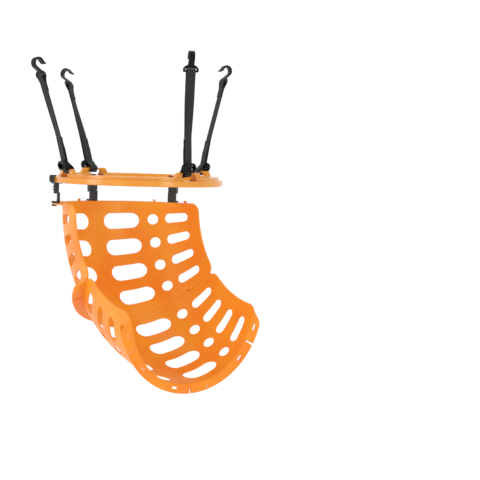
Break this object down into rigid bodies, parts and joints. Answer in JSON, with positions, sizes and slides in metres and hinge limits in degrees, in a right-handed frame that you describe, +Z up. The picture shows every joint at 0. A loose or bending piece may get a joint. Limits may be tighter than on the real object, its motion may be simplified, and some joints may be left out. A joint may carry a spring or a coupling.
{
  "type": "basketball return net",
  "caption": "Orange plastic ball-return chute: a ring on adjustable webbing straps with hooks carries a pierced, bent half-pipe chute that swivels on the ring.",
  "frame": {"origin": "centre of the ring, on the swivel axis, level with the middle of the ring's outer rail", "axes": "+Z up along the swivel axis, -Y the way the chute's mouth faces, +X to the right seen from the mouth's back"},
  "size_m": [0.4981, 0.4895, 0.7009],
  "materials": {
    "ring_plastic": "glossy injection-moulded orange",
    "chute_plastic": "glossy injection-moulded orange",
    "clamp_plastic": "satin dark grey",
    "hook_plastic": "glossy black",
    "webbing": "woven charcoal webbing"
  },
  "bodies": {
    "ring": {"ring": "ring_plastic"},
    "chute": {"glider_left": "clamp_plastic", "glider_back": "clamp_plastic", "glider_right": "clamp_plastic", "hanger_left": "clamp_plastic", "hanger_back": "clamp_plastic", "hanger_right": "clamp_plastic", "panel_upper_left": "chute_plastic", "panel_upper_right": "chute_plastic", "panel_lower_left": "chute_plastic", "panel_lower_right": "chute_plastic"},
    "strap_a": {"strap_a": "webbing"},
    "strap_b": {"strap_b": "webbing"},
    "strap_c": {"strap_c": "webbing"},
    "strap_d": {"strap_d": "webbing"},
    "slider_a": {"slider_a": "hook_plastic"},
    "slider_b": {"slider_b": "hook_plastic"},
    "slider_c": {"slider_c": "hook_plastic"},
    "slider_d": {"slider_d": "hook_plastic"},
    "hook_a": {"hook_a": "hook_plastic"},
    "hook_b": {"hook_b": "hook_plastic"},
    "hook_c": {"hook_c": "hook_plastic"},
    "hook_d": {"hook_d": "hook_plastic"}
  },
  "joints": [
    {"name": "chute_swivel", "type": "hinge", "parent": "ring", "child": "chute", "pos_m": [0, 0, 0], "axis": [0, 0, 1], "continuous": true},
    {"name": "strap_a_swing", "type": "hinge", "parent": "ring", "child": "strap_a", "pos_m": [-0.16086, 0.02668, 0.02075], "axis": [0.1817, 0.983, 0.0263], "range_deg": [-24, 34]},
    {"name": "strap_b_swing", "type": "hinge", "parent": "ring", "child": "strap_b", "pos_m": [-0.01119, 0.16271, 0.02075], "axis": [0.9988, 0.0449, 0.0213], "range_deg": [-18, 40]},
    {"name": "strap_c_swing", "type": "hinge", "parent": "ring", "child": "strap_c", "pos_m": [0.00069, -0.16308, 0.02075], "axis": [-0.995, -0.0192, -0.0982], "range_deg": [-35, 23]},
    {"name": "strap_d_swing", "type": "hinge", "parent": "ring", "child": "strap_d", "pos_m": [0.16298, -0.00284, 0.02075], "axis": [-0.0065, -0.9994, 0.0341], "range_deg": [-26, 32]},
    {"name": "slider_a_slide", "type": "slide", "parent": "strap_a", "child": "slider_a", "axis": [-0.2503, 0.0316, 0.9677], "range_m": [0, 0.026]},
    {"name": "slider_b_slide", "type": "slide", "parent": "strap_b", "child": "slider_b", "axis": [-0.0282, 0.3467, 0.9376], "range_m": [0, 0.026]},
    {"name": "slider_c_slide", "type": "slide", "parent": "strap_c", "child": "slider_c", "axis": [-0.1024, -0.0755, 0.9919], "range_m": [0, 0.026]},
    {"name": "slider_d_slide", "type": "slide", "parent": "strap_d", "child": "slider_d", "axis": [0.2259, 0.0436, 0.9732], "range_m": [0, 0.026]},
    {"name": "hook_a_swing", "type": "hinge", "parent": "strap_a", "child": "hook_a", "pos_m": [-0.22761, 0.03394, 0.21076], "axis": [-0.0642, 0.9961, -0.0606], "range_deg": [-60, 60]},
    {"name": "hook_b_swing", "type": "hinge", "parent": "strap_b", "child": "hook_b", "pos_m": [-0.01893, 0.24829, 0.20333], "axis": [0.8996, 0.4089, -0.1535], "range_deg": [-60, 60]},
    {"name": "hook_c_swing", "type": "hinge", "parent": "strap_c", "child": "hook_c", "pos_m": [-0.01918, -0.19678, 0.22868], "axis": [-0.8532, 0.5215, 0.003], "range_deg": [-60, 60]},
    {"name": "hook_d_swing", "type": "hinge", "parent": "strap_d", "child": "hook_d", "pos_m": [0.22642, 0.00346, 0.21752], "axis": [-0.1389, -0.9874, 0.0764], "range_deg": [-60, 60]}
  ]
}
